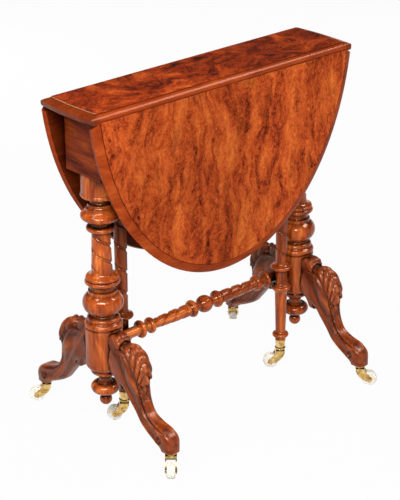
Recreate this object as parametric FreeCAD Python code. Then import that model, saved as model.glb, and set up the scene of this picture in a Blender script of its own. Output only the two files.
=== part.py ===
import FreeCAD
import Part
import math
import os

# Sutherland table: a narrow fixed top with two deep oval drop flaps on rule joints, two turned
# end columns on scroll legs, a turned stretcher, and two swinging gate legs that hold the flaps up.
# Millimetres. +Z is up, +X runs along the fixed top, the front flap is on the -Y side.
# The origin is on the floor under the middle of the top. Both flaps hang, both gates are shut.

# Overall sizes
TOP_HEIGHT = 690.0
TOP_LENGTH = 660.0
TOP_OPEN_WIDTH = 874.0
FIXED_TOP_HALF_WIDTH = 64.0
COLUMN_SPACING = 510.0
FOOT_SPREAD = 380.0

# Table top boards, veneer leaves and moulded rim
BOARD_THICKNESS = 16.0
VENEER_THICKNESS = 1.0
RIM_WIDTH = 18.0
RIM_DROP = 6.0
RIM_UNDERCUT = 3.0
RIM_BOW = 3.0
RIM_SECTIONS = 5

# Rule joint between the fixed top and a flap
RULE_FILLET = 2.5
RULE_CLEARANCE = 0.4
RULE_ARC_MIDDLE = 40.0
HINGE_AXIS_ABOVE_UNDERSIDE = 3.0

# Rule joint hinges
HINGE_SPACING = 400.0
HINGE_WIDTH = 34.0
HINGE_LEAF = 2.0
HINGE_TOP_REACH = 28.0
HINGE_FLAP_REACH = 42.0
HINGE_KNUCKLE_RADIUS = 3.0
HINGE_PIN_RADIUS = 1.5
HINGE_KNUCKLES = 5
HINGE_GAIN_CLEARANCE = 0.3

# Countersunk screws of the hinges
SCREW_HEAD_RADIUS = 3.2
SCREW_SHANK_RADIUS = 1.6
SCREW_HEAD_HEIGHT = 1.6
SCREW_LENGTH = 12.0
SCREW_EDGE = 7.0

# Frieze under the fixed top
FRIEZE_DEPTH = 123.0
FRIEZE_HALF_WIDTH = 50.0
END_RAIL_THICKNESS = 20.0
END_RAIL_MARGIN = 1.0
BEARER_MARGIN = 4.0
BEARER_DEPTH = 40.0
BEARER_INSET = 3.0
LONG_RAIL_THICKNESS = 18.0
RAIL_TENON_THICKNESS = 9.0
RAIL_TENON_LENGTH = 10.0
RAIL_TENON_SHOULDER = 10.0
GLUE_BLOCK_SIZE = 18.0
GLUE_BLOCK_GAP = 1.5

# Swinging gates with wooden knuckle joints
FLY_RAIL_THICKNESS = 19.0
FLY_RAIL_CLEARANCE = 0.5
FLY_RAIL_TOP_CLEARANCE = 0.6
GATE_PIVOT_OFFSET = 22.0
GATE_END_GAP = 12.0
GATE_KNUCKLES = 5
GATE_KNUCKLE_GAP = 0.3
GATE_SHOULDER_GAP = 0.5
GATE_PIN_RADIUS = 2.5
GATE_PIN_HEAD = 2.0
GATE_BLOCK_SIZE = 28.0
GATE_BLOCK_GAP = 1.0
GATE_RING_RADIUS = 22.0
GATE_RING_BULGE = 3.5
GATE_BLOCK_DEPTH = 139.0
GATE_TENON_THICKNESS = 8.0
GATE_TENON_LENGTH = 16.0
GATE_TENON_SHOULDER = 8.0

# Turned columns
DRUM_RADIUS = 36.0
DRUM_TOP = 235.0
COLUMN_HEAD_RADIUS = 35.0
COLUMN_FOOT = 148.0
COLUMN_TENON_RADIUS = 12.0
COLUMN_TENON_LENGTH = 30.0
PENDANT_TENON_RADIUS = 6.0
PENDANT_TENON_LENGTH = 20.0

# Stretcher
STRETCHER_HEIGHT = 198.0
STRETCHER_END_RADIUS = 10.5
STRETCHER_TENON_RADIUS = 7.0
STRETCHER_TENON_LENGTH = 18.0

# Twist cut into the turned shafts
UPRIGHT_TWIST_SLOPE = 30.0
STRETCHER_TWIST_SLOPE = 42.0
TWIST_GROOVE_RADIUS = 3.6
TWIST_GROOVE_DEPTH = 2.2
TWIST_END = 4.0
COLUMN_TWISTS = 2
GATE_LEG_TWISTS = 1
STRETCHER_TWISTS = 2

# Scroll legs
LEG_SHOULDER_HALF_WIDTH = 16.5
LEG_ROOT_HALF_WIDTH = 19.0
LEG_KNEE_HALF_WIDTH = 21.0
LEG_ANKLE_HALF_WIDTH = 14.0
LEG_FOOT_HALF_WIDTH = 17.5
LEG_TOE_HALF_WIDTH = 14.0
LEG_EDGE_RADIUS = 6.0
DOWEL_RADIUS = 4.0
DOWEL_LENGTH = 34.0
DOWEL_HEIGHTS = (174.0, 210.0)

# Casters, with the plan direction in which their wheels trail, in degrees from +X
FRONT_TRAIL = -132.0
SIDE_TRAIL = 138.0
CASTER_TRAIL = 20.0
WHEEL_RADIUS = 15.0
WHEEL_WIDTH = 16.0
WHEEL_EDGE = 2.4
WHEEL_CROWN = 0.3
WHEEL_ROOM = 3.2
AXLE_RADIUS = 2.5
AXLE_HEAD = 0.8
CHEEK_THICKNESS = 2.5
CHEEK_GAP = 0.6
YOKE_HEIGHT = 6.0
BOSS_RADIUS = 5.5
HORN_SLOPE = 35.0
HORN_BOW = 5.0
HUB_RADIUS = 9.0
HUB_HEIGHT = 4.0
STEM_RADIUS = 4.0
STEM_LENGTH = 9.0
PLATE_THICKNESS = 2.5
PLATE_RADIUS = 13.0
PLATE_BEVEL = 1.0
CUP_DEPTH = 20.0
CUP_WALL = 1.5
CUP_FLANGE = 2.0
CUP_MOUTH_RADIUS = 11.0
CUP_FOOT_RADIUS = 9.0

# Fits
GLUE_CLEARANCE = 0.1
PIN_CLEARANCE = 0.05
SWIVEL_CLEARANCE = 0.3

# Heights and places worked out from the sizes above
BOARD_TOP = TOP_HEIGHT - VENEER_THICKNESS
BOARD_BOTTOM = BOARD_TOP - BOARD_THICKNESS
HINGE_Z = BOARD_BOTTOM + HINGE_AXIS_ABOVE_UNDERSIDE
HINGE_Y = FIXED_TOP_HALF_WIDTH
RULE_RADIUS = TOP_HEIGHT - HINGE_Z - RULE_FILLET
FRIEZE_BOTTOM = BOARD_BOTTOM - FRIEZE_DEPTH
COLUMN_X = COLUMN_SPACING / 2
END_RAIL_FACE = COLUMN_X + COLUMN_HEAD_RADIUS + END_RAIL_MARGIN
END_RAIL_BACK = END_RAIL_FACE - END_RAIL_THICKNESS
BEARER_FACE = COLUMN_X - COLUMN_HEAD_RADIUS - BEARER_MARGIN
BEARER_TOP = FRIEZE_BOTTOM + BEARER_DEPTH
LEG_REACH = FOOT_SPREAD / 2
LONG_RAIL_FACE = LONG_RAIL_THICKNESS / 2
KNUCKLE_RADIUS = FLY_RAIL_THICKNESS / 2
GATE_PIVOT_Y = LONG_RAIL_FACE + FLY_RAIL_CLEARANCE + KNUCKLE_RADIUS
GATE_REACH = BEARER_FACE - GATE_END_GAP - GATE_BLOCK_SIZE / 2
GATE_LEG_X = min(GATE_REACH, COLUMN_X - DRUM_RADIUS - GATE_RING_RADIUS)
GATE_LEG_OFFSET = LONG_RAIL_FACE + GATE_BLOCK_GAP + GATE_BLOCK_SIZE / 2
FLY_RAIL_TOP = BOARD_BOTTOM - FLY_RAIL_TOP_CLEARANCE
AXLE_Z = WHEEL_RADIUS
YOKE_HALF_WIDTH = WHEEL_WIDTH / 2 + CHEEK_GAP + CHEEK_THICKNESS
YOKE_LOW = 2 * WHEEL_RADIUS + WHEEL_ROOM
YOKE_TOP = YOKE_LOW + YOKE_HEIGHT
HUB_TOP = YOKE_TOP + HUB_HEIGHT
PLATE_LOW = HUB_TOP + SWIVEL_CLEARANCE
CASTER_HEIGHT = PLATE_LOW + PLATE_THICKNESS
CUP_TOP = PLATE_LOW + CUP_DEPTH

X_AXIS = FreeCAD.Vector(1, 0, 0)
Y_AXIS = FreeCAD.Vector(0, 1, 0)
Z_AXIS = FreeCAD.Vector(0, 0, 1)
ORIGIN = FreeCAD.Vector(0, 0, 0)


# General shapes

def point(x, y, z):
    return FreeCAD.Vector(x, y, z)


def block(x_low, x_high, y_low, y_high, z_low, z_high):
    corner = point(x_low, y_low, z_low)
    return Part.makeBox(x_high - x_low, y_high - y_low, z_high - z_low, corner)


def rod(radius, start, end):
    return Part.makeCylinder(radius, (end - start).Length, start, end - start)


def placed(shape, angle=0.0, x=0.0, y=0.0):
    """Copy of a shape turned about the vertical through the origin, then moved in plan."""
    copy = shape.copy()
    copy.rotate(ORIGIN, Z_AXIS, angle)
    copy.translate(point(x, y, 0))
    return copy


def half_turn(shape):
    """The matching piece on the other side of the table."""
    return placed(shape, 180.0)


def cut_all(shape, tools):
    return shape.cut(Part.makeCompound(list(tools)))


def cut_each(shape, tools):
    """Cuts tools that run into each other, one after the other."""
    for tool in tools:
        shape = shape.cut(tool)
    return shape


def join(shapes):
    return shapes[0].multiFuse(list(shapes[1:])).removeSplitter()


def bowed_edge(start, end, bow):
    """Edge in the X-Z plane, straight or an arc that bows to the left (+) or right (-) on its way."""
    if not bow:
        return Part.makeLine(start, end)
    chord = end - start
    left = point(-chord.z, 0, chord.x).normalize()
    return Part.Arc(start, (start + end) * 0.5 + left * bow, end).toShape()


def turned(profile):
    """Solid of revolution about Z, its profile listed downwards. Each entry is radius, height and, for a
    bead or a hollow, how far the arc from the entry before bulges out (+) or in (-)."""
    corners = [point(entry[0], 0, entry[1]) for entry in profile]
    edges = []
    for index in range(1, len(profile)):
        bulge = profile[index][2] if len(profile[index]) > 2 else 0.0
        edges.append(bowed_edge(corners[index - 1], corners[index], bulge))
    edges.append(Part.makeLine(corners[-1], corners[0]))
    face = Part.Face(Part.Wire(edges))
    return face.revolve(ORIGIN, Z_AXIS, 360)


def twist_grooves(foot, head, starts, slope):
    """Left-handed round grooves for a tapered shaft along Z, given the radius and height of its foot and
    of its head. They stop short of both with round ends."""
    thin, thick = sorted((foot[0], head[0]))
    height = abs(head[1] - foot[1])
    taper = (thick - thin) / height
    inset = TWIST_GROOVE_RADIUS - TWIST_GROOVE_DEPTH
    radius = thin + taper * TWIST_END + inset
    lead = math.pi * (thin + thick) * math.tan(math.radians(slope))
    path = Part.makeHelix(lead, height - 2 * TWIST_END, radius, math.degrees(math.atan(taper)), True)
    edge = path.Edges[0]
    start = edge.valueAt(edge.FirstParameter)
    end = edge.valueAt(edge.LastParameter)
    section = Part.makeCircle(TWIST_GROOVE_RADIUS, start, edge.tangentAt(edge.FirstParameter))
    channel = Part.Wire(path.Edges).makePipeShell([Part.Wire([section])], True, True)
    groove = [channel] + [Part.makeSphere(TWIST_GROOVE_RADIUS, stop) for stop in (start, end)]
    tools = []
    for index in range(starts):
        for solid in groove:
            tool = placed(solid, 360.0 * index / starts)
            tool.translate(point(0, 0, TWIST_END))
            if head[0] < foot[0]:
                tool.rotate(ORIGIN, X_AXIS, 180)
                tool.translate(point(0, 0, height))
            tool.translate(point(0, 0, foot[1]))
            tools.append(tool)
    return tools


def smooth_edge(points):
    curve = Part.BSplineCurve()
    curve.interpolate(points)
    return curve.toShape()


# Table top

def oval_wire(inset, z):
    half_length = TOP_LENGTH / 2 - inset
    half_width = TOP_OPEN_WIDTH / 2 - inset
    ellipse = Part.Ellipse(point(0, half_width, z), point(half_length, 0, z), point(0, 0, z))
    return Part.Wire([ellipse.toShape()])


def oval_board():
    """The whole open oval as one board, with the thumbnail moulding round its rim."""
    rim_foot = BOARD_TOP - RIM_DROP
    under = Part.makeLoft([oval_wire(RIM_UNDERCUT, BOARD_BOTTOM), oval_wire(0, rim_foot)], True, True)
    sections = []
    for step in range(RIM_SECTIONS + 1):
        share = step / RIM_SECTIONS
        inset = RIM_WIDTH * share - RIM_BOW * math.sin(math.pi * share)
        sections.append(oval_wire(inset, rim_foot + RIM_DROP * share))
    return under.fuse(Part.makeLoft(sections, True, False))


def oval_veneer():
    face = Part.Face(oval_wire(RIM_WIDTH, BOARD_TOP))
    return face.extrude(point(0, 0, VENEER_THICKNESS))


def fixed_top_section():
    """Section of the fixed top across its length, with the rounded rule joint edge on both sides."""
    shoulder = HINGE_Z + RULE_RADIUS
    foot = HINGE_Y + math.sqrt(RULE_RADIUS ** 2 - HINGE_AXIS_ABOVE_UNDERSIDE ** 2)
    slope = math.radians(RULE_ARC_MIDDLE)
    edges = []
    for side in (1, -1):
        axis = point(0, side * HINGE_Y, HINGE_Z)
        outer = axis + point(0, side * RULE_RADIUS * math.cos(slope), RULE_RADIUS * math.sin(slope))
        top = point(0, side * HINGE_Y, TOP_HEIGHT)
        step = point(0, side * HINGE_Y, shoulder)
        low = point(0, side * foot, BOARD_BOTTOM)
        edges.append(Part.makeLine(top, step))
        edges.append(Part.Arc(step, outer, low).toShape())
        edges.append(Part.makeLine(low, point(0, 0, BOARD_BOTTOM)))
    edges.append(Part.makeLine(point(0, -HINGE_Y, TOP_HEIGHT), point(0, HINGE_Y, TOP_HEIGHT)))
    face = Part.Face(Part.Wire(Part.sortEdges(edges)[0]))
    face.translate(point(-TOP_LENGTH / 2, 0, 0))
    return face.extrude(point(TOP_LENGTH, 0, 0))


def rear_flap_space():
    """Everything beyond the rear rule joint, less the hollow that rides over the rounded edge."""
    half = TOP_LENGTH / 2
    hollow = RULE_RADIUS + RULE_CLEARANCE
    beyond = block(-half, half, HINGE_Y + RULE_CLEARANCE, TOP_OPEN_WIDTH / 2, BOARD_BOTTOM, TOP_HEIGHT)
    cove = hinge_rod(hollow, -half, half)
    below = block(-half, half, HINGE_Y, HINGE_Y + hollow, BOARD_BOTTOM, HINGE_Z)
    return cut_all(beyond, [cove, below])


# Hinges, built for the rear flap in its raised place

def hinge_places():
    return (-HINGE_SPACING / 2, HINGE_SPACING / 2)


def hinge_rod(radius, low, high):
    return rod(radius, point(low, HINGE_Y, HINGE_Z), point(high, HINGE_Y, HINGE_Z))


def hinge_knuckles(x, first):
    """Every other barrel length of one hinge, starting from the first or the second."""
    length = HINGE_WIDTH / HINGE_KNUCKLES
    start = x - HINGE_WIDTH / 2
    barrels = []
    for index in range(first, HINGE_KNUCKLES, 2):
        gap = GLUE_CLEARANCE if first else 0.0
        low = start + index * length + gap
        high = start + (index + 1) * length - gap
        barrels.append(hinge_rod(HINGE_KNUCKLE_RADIUS, low, high))
    return barrels


def hinge_pin(x, radius):
    return hinge_rod(radius, x - HINGE_WIDTH / 2, x + HINGE_WIDTH / 2)


def hinge_leaf(x, y_low, y_high, first, screws):
    half = HINGE_WIDTH / 2
    plate = block(x - half, x + half, y_low, y_high, BOARD_BOTTOM, BOARD_BOTTOM + HINGE_LEAF)
    other = 1 - first
    room = []
    for barrel in hinge_knuckles(x, other):
        low = barrel.BoundBox.XMin - GLUE_CLEARANCE
        high = barrel.BoundBox.XMax + GLUE_CLEARANCE
        reach = HINGE_KNUCKLE_RADIUS + GLUE_CLEARANCE
        room.append(block(low, high, HINGE_Y - reach, HINGE_Y + reach, BOARD_BOTTOM, TOP_HEIGHT))
    leaf = join([plate.cut(Part.makeCompound(room))] + hinge_knuckles(x, first))
    holes = [hinge_pin(x, HINGE_PIN_RADIUS + PIN_CLEARANCE)]
    holes += [screw_shape(spot[0], spot[1], GLUE_CLEARANCE) for spot in screws]
    return cut_all(leaf, holes)


def screw_shape(x, y, clearance):
    """Countersunk screw driven upwards, its head flush with the hinge leaf."""
    head = SCREW_HEAD_RADIUS + clearance
    shank = SCREW_SHANK_RADIUS + clearance
    tip = SCREW_LENGTH + clearance
    screw = turned([(0, 0), (head, 0), (shank, SCREW_HEAD_HEIGHT), (shank, tip), (0, tip)])
    screw.translate(point(x, y, BOARD_BOTTOM))
    return screw


def top_screw_places(x):
    spread = HINGE_WIDTH / 2 - SCREW_EDGE
    y = HINGE_Y - HINGE_TOP_REACH + SCREW_EDGE
    return [(x - spread, y), (x + spread, y)]


def flap_screw_places(x):
    spread = HINGE_WIDTH / 2 - SCREW_EDGE
    far = HINGE_Y + HINGE_FLAP_REACH - SCREW_EDGE
    near = HINGE_Y + RULE_RADIUS + SCREW_EDGE
    return [(x - spread, far), (x + spread, far), (x, near)]


def hinge_gain(x):
    """Room under the fixed top and the flap for one hinge and the swing of its long leaf."""
    half = HINGE_WIDTH / 2 + HINGE_GAIN_CLEARANCE
    near = HINGE_Y - HINGE_TOP_REACH - GLUE_CLEARANCE
    far = HINGE_Y + HINGE_FLAP_REACH + GLUE_CLEARANCE
    seat = BOARD_BOTTOM + HINGE_LEAF
    groove = HINGE_KNUCKLE_RADIUS + HINGE_GAIN_CLEARANCE
    leaves = block(x - half, x + half, near, far, BOARD_BOTTOM, seat)
    swing_far = HINGE_Y + RULE_RADIUS + RULE_CLEARANCE
    swing = block(x - half, x + half, HINGE_Y, swing_far, BOARD_BOTTOM, seat + HINGE_GAIN_CLEARANCE)
    barrel = hinge_rod(groove, x - half, x + half)
    slot = block(x - half, x + half, HINGE_Y - groove, HINGE_Y + groove, BOARD_BOTTOM, HINGE_Z)
    return [leaves, swing, barrel, slot]


def hung(shape):
    """A rear flap piece swung from its raised place down to its hanging place."""
    copy = shape.copy()
    copy.rotate(point(0, HINGE_Y, HINGE_Z), X_AXIS, -90)
    return copy


def make_top(nodes):
    gains = []
    top_screws = []
    flap_screws = []
    top_leaves = []
    flap_leaves = []
    pins = []
    for x in hinge_places():
        gains += hinge_gain(x)
        top_spots = top_screw_places(x)
        flap_spots = flap_screw_places(x)
        gains += [screw_shape(spot[0], spot[1], GLUE_CLEARANCE) for spot in top_spots + flap_spots]
        top_screws += [screw_shape(spot[0], spot[1], 0) for spot in top_spots]
        flap_screws += [screw_shape(spot[0], spot[1], 0) for spot in flap_spots]
        top_leaves.append(hinge_leaf(x, HINGE_Y - HINGE_TOP_REACH, HINGE_Y, 0, top_spots))
        flap_leaves.append(hinge_leaf(x, HINGE_Y, HINGE_Y + HINGE_FLAP_REACH, 1, flap_spots))
        pins.append(hinge_pin(x, HINGE_PIN_RADIUS))

    board = oval_board()
    veneer = oval_veneer()
    both_gains = gains + [half_turn(gain) for gain in gains]
    nodes["centre_top"] = [cut_all(board.common(fixed_top_section()), both_gains)]
    nodes["centre_top_veneer"] = [veneer.common(fixed_top_section())]
    flap = cut_all(board.common(rear_flap_space()), gains)
    rear = {
        "flap": [flap],
        "flap_veneer": [veneer.common(rear_flap_space())],
        "hinge_flap_leaves": flap_leaves,
        "flap_hinge_screws": flap_screws,
    }
    for name, solids in rear.items():
        nodes["rear_" + name] = [hung(solid) for solid in solids]
        nodes["front_" + name] = [half_turn(hung(solid)) for solid in solids]
    fixed = {
        "hinge_top_leaves": top_leaves,
        "hinge_pins": pins,
        "top_hinge_screws": top_screws,
    }
    for name, solids in fixed.items():
        nodes[name] = solids + [half_turn(solid) for solid in solids]


# Frieze

def rail_tenon(clearance):
    """Stub tenon at the right end of the long rail, or its mortise."""
    half = RAIL_TENON_THICKNESS / 2 + clearance
    low = BEARER_TOP + RAIL_TENON_SHOULDER - clearance
    high = BOARD_BOTTOM - RAIL_TENON_SHOULDER + clearance
    return block(END_RAIL_BACK, END_RAIL_BACK + RAIL_TENON_LENGTH + clearance, -half, half, low, high)


def make_frieze(nodes):
    half = FRIEZE_HALF_WIDTH
    rail = block(END_RAIL_BACK, END_RAIL_FACE, -half, half, FRIEZE_BOTTOM, BOARD_BOTTOM)
    rail = rail.cut(rail_tenon(GLUE_CLEARANCE))
    nodes["right_end_rail"] = [rail]
    nodes["left_end_rail"] = [half_turn(rail)]

    width = half - BEARER_INSET
    bearer = block(BEARER_FACE, END_RAIL_BACK, -width, width, FRIEZE_BOTTOM, BEARER_TOP)
    bearer = bearer.cut(column_tenon(GLUE_CLEARANCE))
    nodes["right_bearer"] = [bearer]
    nodes["left_bearer"] = [half_turn(bearer)]

    face = LONG_RAIL_FACE
    long_rail = block(-END_RAIL_BACK, END_RAIL_BACK, -face, face, BEARER_TOP, BOARD_BOTTOM)
    tenon = rail_tenon(0)
    nodes["long_rail"] = [join([long_rail, tenon, half_turn(tenon)])]

    blocks = []
    inner = GATE_PIVOT_Y + KNUCKLE_RADIUS + GLUE_BLOCK_GAP
    for low, high in ((inner, width), (-width, -inner)):
        blocks.append(glue_block(low, high))
    nodes["glue_blocks"] = blocks + [half_turn(solid) for solid in blocks]


def glue_block(y_low, y_high):
    """Block rubbed into the corner of the end rail and the top, its free corner planed off."""
    size = GLUE_BLOCK_SIZE
    outline = [(0, 0), (0, -size), (-size / 2, -size), (-size, -size / 2), (-size, 0), (0, 0)]
    corners = [point(END_RAIL_BACK + x, y_low, BOARD_BOTTOM + z) for x, z in outline]
    return Part.Face(Part.makePolygon(corners)).extrude(point(0, y_high - y_low, 0))


# Gates, built for the front gate with its leg at the right

def gate_finger_heights():
    step = (BOARD_BOTTOM - BEARER_TOP) / GATE_KNUCKLES
    return [(BEARER_TOP + index * step, BEARER_TOP + (index + 1) * step) for index in range(GATE_KNUCKLES)]


def gate_axis_rod(radius, low, high):
    x = -GATE_PIVOT_OFFSET
    return rod(radius, point(x, -GATE_PIVOT_Y, low), point(x, -GATE_PIVOT_Y, high))


def knuckle_room(side, low, high):
    """Space that the fingers of the other rail need: a hollow, open on the side the gate swings to."""
    x = -GATE_PIVOT_OFFSET
    reach = KNUCKLE_RADIUS + GATE_SHOULDER_GAP
    hollow = gate_axis_rod(reach, low, high)
    far = x + side * reach
    open_side = block(min(x, far), max(x, far), -GATE_PIVOT_Y - reach, -GATE_PIVOT_Y, low, high)
    beyond = x - side * reach
    past = block(min(x, beyond), max(x, beyond), -GATE_PIVOT_Y - reach, -GATE_PIVOT_Y + reach, low, high)
    return [hollow, open_side, past]


def make_gates(nodes):
    pivot_x = -GATE_PIVOT_OFFSET
    inner = -LONG_RAIL_FACE
    outer = -GATE_PIVOT_Y - KNUCKLE_RADIUS
    heights = gate_finger_heights()
    bore = GATE_PIN_RADIUS + PIN_CLEARANCE

    knuckle_rail = block(-END_RAIL_BACK, pivot_x, outer, inner, BEARER_TOP, BOARD_BOTTOM)
    knuckle_rail = join([knuckle_rail, gate_axis_rod(KNUCKLE_RADIUS, BEARER_TOP, BOARD_BOTTOM)])
    tools = [gate_axis_rod(bore, BEARER_TOP, BOARD_BOTTOM)]
    for low, high in heights[1::2]:
        tools += knuckle_room(-1, low - GATE_KNUCKLE_GAP, high + GATE_KNUCKLE_GAP)
    knuckle_rail = cut_all(knuckle_rail, tools)

    leg_face = GATE_LEG_X - GATE_BLOCK_SIZE / 2
    rail_inner = -GATE_PIVOT_Y + KNUCKLE_RADIUS
    fly_rail = block(pivot_x, leg_face, outer, rail_inner, BEARER_TOP, FLY_RAIL_TOP)
    fly_rail = join([fly_rail, gate_axis_rod(KNUCKLE_RADIUS, BEARER_TOP, FLY_RAIL_TOP), gate_tenon(0)])
    tools = [gate_axis_rod(bore, BEARER_TOP, BOARD_BOTTOM)]
    for low, high in heights[0::2]:
        tools += knuckle_room(1, low - GATE_KNUCKLE_GAP, high + GATE_KNUCKLE_GAP)
    fly_rail = cut_all(fly_rail, tools)

    pin = gate_axis_rod(GATE_PIN_RADIUS, BEARER_TOP - GATE_PIN_HEAD, BOARD_BOTTOM)
    leg = gate_leg()
    nodes["front_knuckle_rail"] = [knuckle_rail]
    nodes["rear_knuckle_rail"] = [half_turn(knuckle_rail)]
    nodes["front_fly_rail"] = [fly_rail]
    nodes["rear_fly_rail"] = [half_turn(fly_rail)]
    nodes["gate_knuckle_pins"] = [pin, half_turn(pin)]
    nodes["front_gate_leg"] = [leg]
    nodes["rear_gate_leg"] = [half_turn(leg)]


def gate_tenon(clearance):
    half = GATE_TENON_THICKNESS / 2 + clearance
    start = GATE_LEG_X - GATE_BLOCK_SIZE / 2
    low = BEARER_TOP + GATE_TENON_SHOULDER - clearance
    high = FLY_RAIL_TOP - GATE_TENON_SHOULDER + clearance
    end = start + GATE_TENON_LENGTH + clearance
    return block(start, end, -GATE_PIVOT_Y - half, -GATE_PIVOT_Y + half, low, high)


def gate_leg():
    """Square head block for the fly rail, twist-turned shaft, a neck that shuts against the stretcher,
    a plain taper and a tapered end in the caster cup."""
    block_foot = FLY_RAIL_TOP - GATE_BLOCK_DEPTH
    shaft_head = (13.2, block_foot - 17)
    shaft_foot = (11.8, STRETCHER_HEIGHT + 44)
    ring = GATE_RING_RADIUS - GATE_RING_BULGE
    half = GATE_BLOCK_SIZE / 2
    head = block(-half, half, -half, half, block_foot, FLY_RAIL_TOP)
    cup_top = CUP_TOP + GLUE_CLEARANCE
    profile = [
        (0, block_foot),
        (11.8, block_foot),
        (11.8, block_foot - 8, 2.0),
        (10.5, block_foot - 10),
        (10.5, block_foot - 13),
        (*shaft_head, 1.0),
        shaft_foot,
        (ring - 1, STRETCHER_HEIGHT + 35, -1.8),
        (ring, STRETCHER_HEIGHT + 34.5),
        (ring, STRETCHER_HEIGHT + 26.5, GATE_RING_BULGE),
        (14.0, STRETCHER_HEIGHT + 25),
        (12.0, STRETCHER_HEIGHT + 21, -0.8),
        (12.0, STRETCHER_HEIGHT - 3),
        (14.5, STRETCHER_HEIGHT - 8, -1.0),
        (16.5, STRETCHER_HEIGHT - 11, 1.0),
        (16.5, STRETCHER_HEIGHT - 20, 3.5),
        (12.6, STRETCHER_HEIGHT - 30, -0.8),
        (10.4, cup_top + 18),
        (13.0, cup_top + 15.5, -0.6),
        (13.0, cup_top + 6.5, 4.0),
        (10.8, cup_top + 4.0),
        (CUP_MOUTH_RADIUS, cup_top),
        (CUP_MOUTH_RADIUS - CUP_WALL, cup_top),
        (CUP_FOOT_RADIUS - CUP_WALL, CASTER_HEIGHT),
        (0, CASTER_HEIGHT),
    ]
    leg = join([head, turned(profile)])
    leg = leg.cut(stem_hole())
    leg = cut_each(leg, twist_grooves(shaft_foot, shaft_head, GATE_LEG_TWISTS, UPRIGHT_TWIST_SLOPE))
    leg = placed(leg, 0, GATE_LEG_X, -GATE_LEG_OFFSET)
    return leg.cut(gate_tenon(GLUE_CLEARANCE))


# Columns, pendants and stretcher

def column_tenon(clearance):
    radius = COLUMN_TENON_RADIUS + clearance
    top = FRIEZE_BOTTOM + COLUMN_TENON_LENGTH + clearance
    return rod(radius, point(COLUMN_X, 0, FRIEZE_BOTTOM), point(COLUMN_X, 0, top))


def column_turning():
    """Head and capital rings are set down from the frieze, the ball and its rings up from the drum, and
    the tapered twist shaft takes up what is left between them."""
    top = FRIEZE_BOTTOM
    drum = DRUM_TOP
    foot = COLUMN_FOOT
    shaft_head = (17.4, top - 119)
    shaft_foot = (20.1, drum + 116)
    column = turned([
        (0, top + COLUMN_TENON_LENGTH),
        (COLUMN_TENON_RADIUS, top + COLUMN_TENON_LENGTH),
        (COLUMN_TENON_RADIUS, top),
        (COLUMN_HEAD_RADIUS, top),
        (COLUMN_HEAD_RADIUS, top - 39),
        (COLUMN_HEAD_RADIUS, top - 46.5, 1.6),
        (29.5, top - 48),
        (18.5, top - 53, -1.2),
        (18.5, top - 57),
        (22.0, top - 61, -1.0),
        (23.0, top - 63, 0.6),
        (26.5, top - 69, -1.0),
        (27.5, top - 71.5, 0.8),
        (31.0, top - 77, -0.8),
        (33.5, top - 79),
        (33.5, top - 92, 4.0),
        (27.0, top - 97),
        (19.0, top - 101, -1.0),
        (19.0, top - 104),
        (23.5, top - 106),
        (23.5, top - 116, 4.0),
        shaft_head,
        shaft_foot,
        (29.5, drum + 107.5, -2.0),
        (30.5, drum + 100.5, 1.8),
        (31.0, drum + 91.5, 3.0),
        (24.0, drum + 88.5),
        (24.0, drum + 80, -1.2),
        (27.5, drum + 78),
        (27.5, drum + 71.5),
        (27.5, drum + 32, 11.5),
        (25.5, drum + 30.5),
        (25.5, drum + 27, -0.8),
        (29.0, drum + 24.5),
        (30.5, drum + 16.5, 1.8),
        (33.0, drum + 14, -0.5),
        (34.0, drum + 2.5, 3.0),
        (DRUM_RADIUS, drum),
        (DRUM_RADIUS, foot + 14),
        (29.5, foot + 2, 2.4),
        (27.5, foot),
        (0, foot),
    ])
    return cut_each(column, twist_grooves(shaft_foot, shaft_head, COLUMN_TWISTS, UPRIGHT_TWIST_SLOPE))


def make_columns(nodes):
    column = placed(column_turning(), 0, COLUMN_X)
    holes = [pendant_tenon(GLUE_CLEARANCE), stretcher_tenon(GLUE_CLEARANCE)] + leg_dowels(GLUE_CLEARANCE)
    column = cut_all(column, holes)
    nodes["right_column"] = [column]
    nodes["left_column"] = [half_turn(column)]

    ring = COLUMN_FOOT
    pendant = turned([
        (0, ring),
        (26.0, ring),
        (26.0, ring - 8, 1.5),
        (18.0, ring - 14),
        (12.5, ring - 18, -1.0),
        (12.5, ring - 28),
        (15.0, ring - 31),
        (28.0, ring - 41.5, 4.0),
        (13.5, ring - 52.5, 4.0),
        (7.7, ring - 55),
        (7.7, ring - 59),
        (2.0, ring - 80, 7.0),
        (0, ring - 80),
    ])
    pendant = join([placed(pendant, 0, COLUMN_X), pendant_tenon(0)])
    nodes["right_pendant"] = [pendant]
    nodes["left_pendant"] = [half_turn(pendant)]

    stretcher = stretcher_half()
    nodes["stretcher"] = [join([stretcher, half_turn(stretcher)])]


def pendant_tenon(clearance):
    radius = PENDANT_TENON_RADIUS + clearance
    top = COLUMN_FOOT + PENDANT_TENON_LENGTH + clearance
    return rod(radius, point(COLUMN_X, 0, COLUMN_FOOT), point(COLUMN_X, 0, top))


def stretcher_tenon(clearance):
    radius = STRETCHER_TENON_RADIUS + clearance
    start = COLUMN_X - DRUM_RADIUS - STRETCHER_TENON_LENGTH / 4
    end = COLUMN_X - DRUM_RADIUS + STRETCHER_TENON_LENGTH + clearance
    return rod(radius, point(start, 0, STRETCHER_HEIGHT), point(end, 0, STRETCHER_HEIGHT))


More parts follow.
